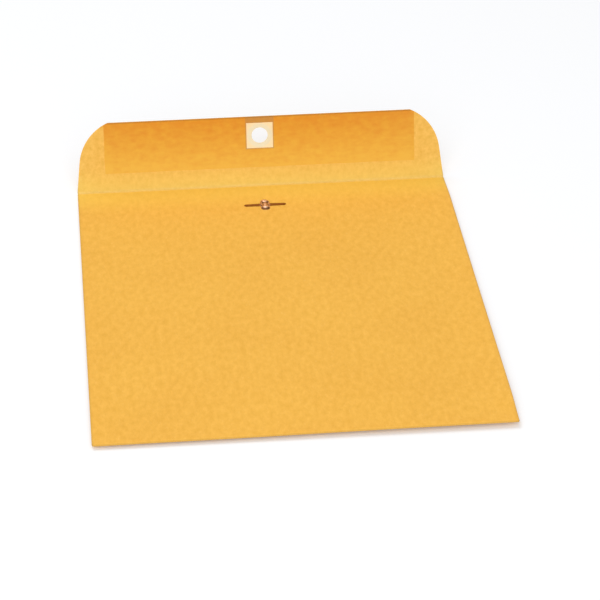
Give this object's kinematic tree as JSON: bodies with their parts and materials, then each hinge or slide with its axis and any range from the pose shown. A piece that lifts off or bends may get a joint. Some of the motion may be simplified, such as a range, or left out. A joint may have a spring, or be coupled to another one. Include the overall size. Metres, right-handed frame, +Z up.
{
  "type": "clasp envelope",
  "caption": "Open-end kraft clasp envelope: flat side-seam pocket, hinged gummed seal flap with a reinforced hole, and a metal clasp whose prongs fold flat or stand up.",
  "frame": {"origin": "middle of the body's underside, on the surface that the envelope lies on", "axes": "+Z up out of the clasp side, +Y along the body towards the flap's crease, +X to the right as seen from the bottom edge"},
  "size_m": [0.2286, 0.3145, 0.043],
  "materials": {
    "kraft_paper": "golden kraft, uncoated, matt",
    "seal_gum": "dried remoistenable gum on kraft, satin",
    "seam_glue": "dried glue film",
    "patch_paper": "pale manila, smooth",
    "tinplate": "bright tinned sheet steel"
  },
  "bodies": {
    "pocket": {"front_panel": "kraft_paper", "back_panel": "kraft_paper", "bottom_fold": "kraft_paper", "left_side_fold": "kraft_paper", "right_side_fold": "kraft_paper", "left_side_tab": "kraft_paper", "right_side_tab": "kraft_paper", "left_seam_glue": "seam_glue", "right_seam_glue": "seam_glue", "clasp_base": "tinplate", "clasp_hub": "tinplate"},
    "flap": {"seal_flap": "kraft_paper", "gum_strip": "seal_gum", "flap_patch": "patch_paper"},
    "left_prong": {"clasp_prong_left": "tinplate"},
    "right_prong": {"clasp_prong_right": "tinplate"}
  },
  "joints": [
    {"name": "flap_crease", "type": "hinge", "parent": "pocket", "child": "flap", "pos_m": [0, 0.1524, 0.0006], "axis": [1, 0, 0], "range_deg": [-67, 102]},
    {"name": "left_prong_bend", "type": "hinge", "parent": "pocket", "child": "left_prong", "pos_m": [-0.0022, 0.1234, 0.00139], "axis": [0, 1, 0], "range_deg": [0, 90]},
    {"name": "right_prong_bend", "type": "hinge", "parent": "pocket", "child": "right_prong", "pos_m": [0.0022, 0.1234, 0.00139], "axis": [0, -1, 0], "range_deg": [0, 90]}
  ]
}
